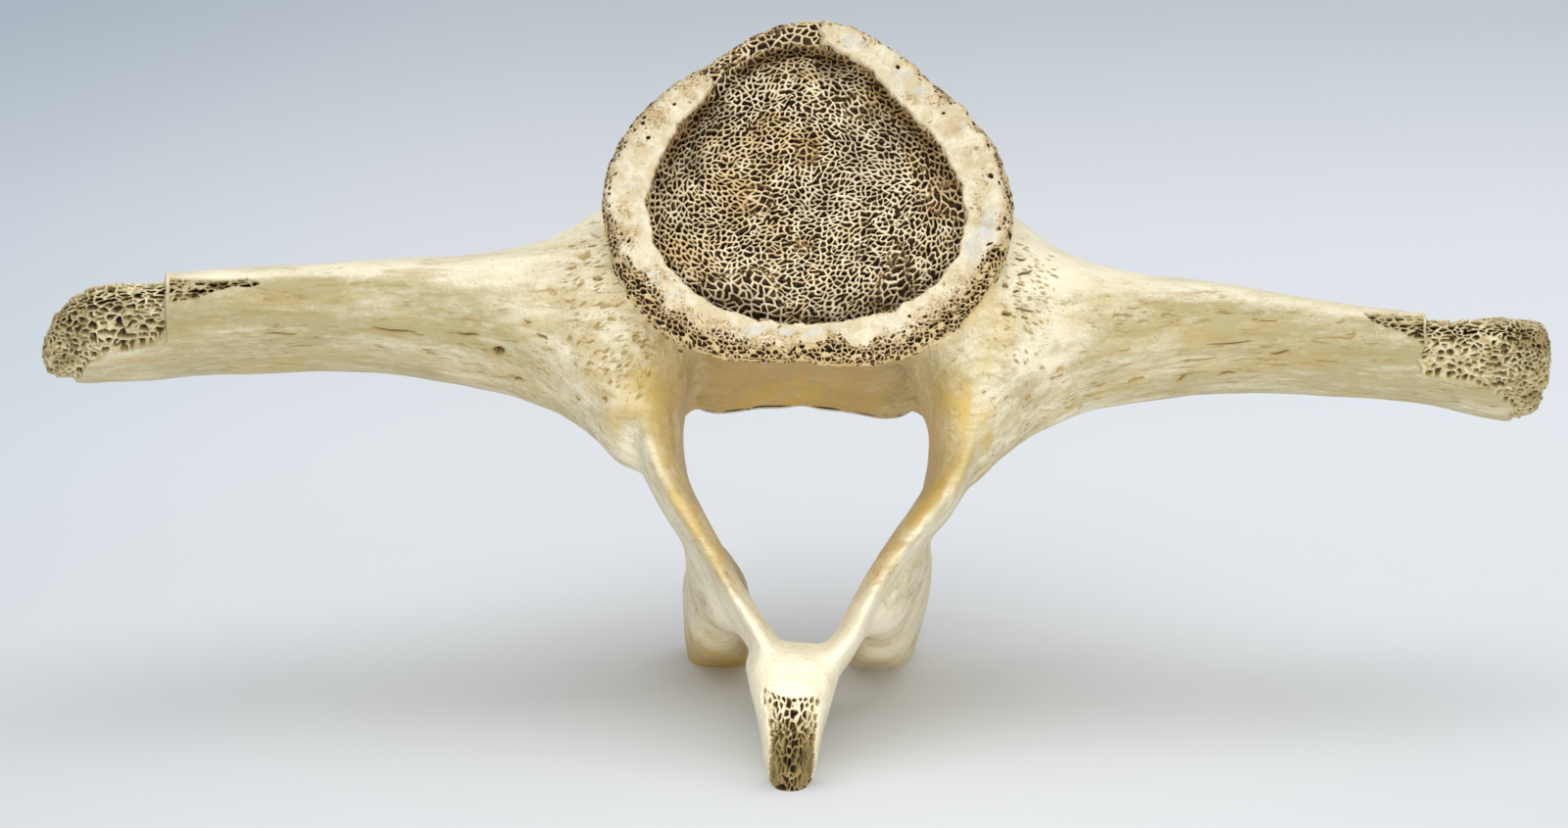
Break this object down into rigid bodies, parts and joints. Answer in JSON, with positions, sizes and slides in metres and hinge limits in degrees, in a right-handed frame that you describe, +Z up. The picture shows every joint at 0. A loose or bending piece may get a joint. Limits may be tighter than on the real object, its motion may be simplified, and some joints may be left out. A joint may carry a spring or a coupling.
{
  "type": "whale vertebra",
  "caption": "Posterior thoracic vertebra of a small whale, resting upside down on its spine and two metapophyses, with long transverse processes and a bare spongy tail-side face.",
  "frame": {"origin": "middle of the resting bone's bounding box, at floor level", "axes": "+X to the right seen from the tail-side face, +Y from the tail side to the head side, +Z up as the bone rests"},
  "size_m": [0.3956, 0.1527, 0.1828],
  "materials": {
    "cortical_bone": "satin",
    "epiphysis": "matte"
  },
  "bodies": {
    "root": {"centrum": "cortical_bone", "caudal_epiphysis": "epiphysis", "cranial_epiphysis": "epiphysis", "left_transverse_process": "cortical_bone", "right_transverse_process": "cortical_bone", "left_neural_arch": "cortical_bone", "right_neural_arch": "cortical_bone", "neural_spine": "cortical_bone", "left_metapophysis": "cortical_bone", "right_metapophysis": "cortical_bone"}
  },
  "joints": []
}
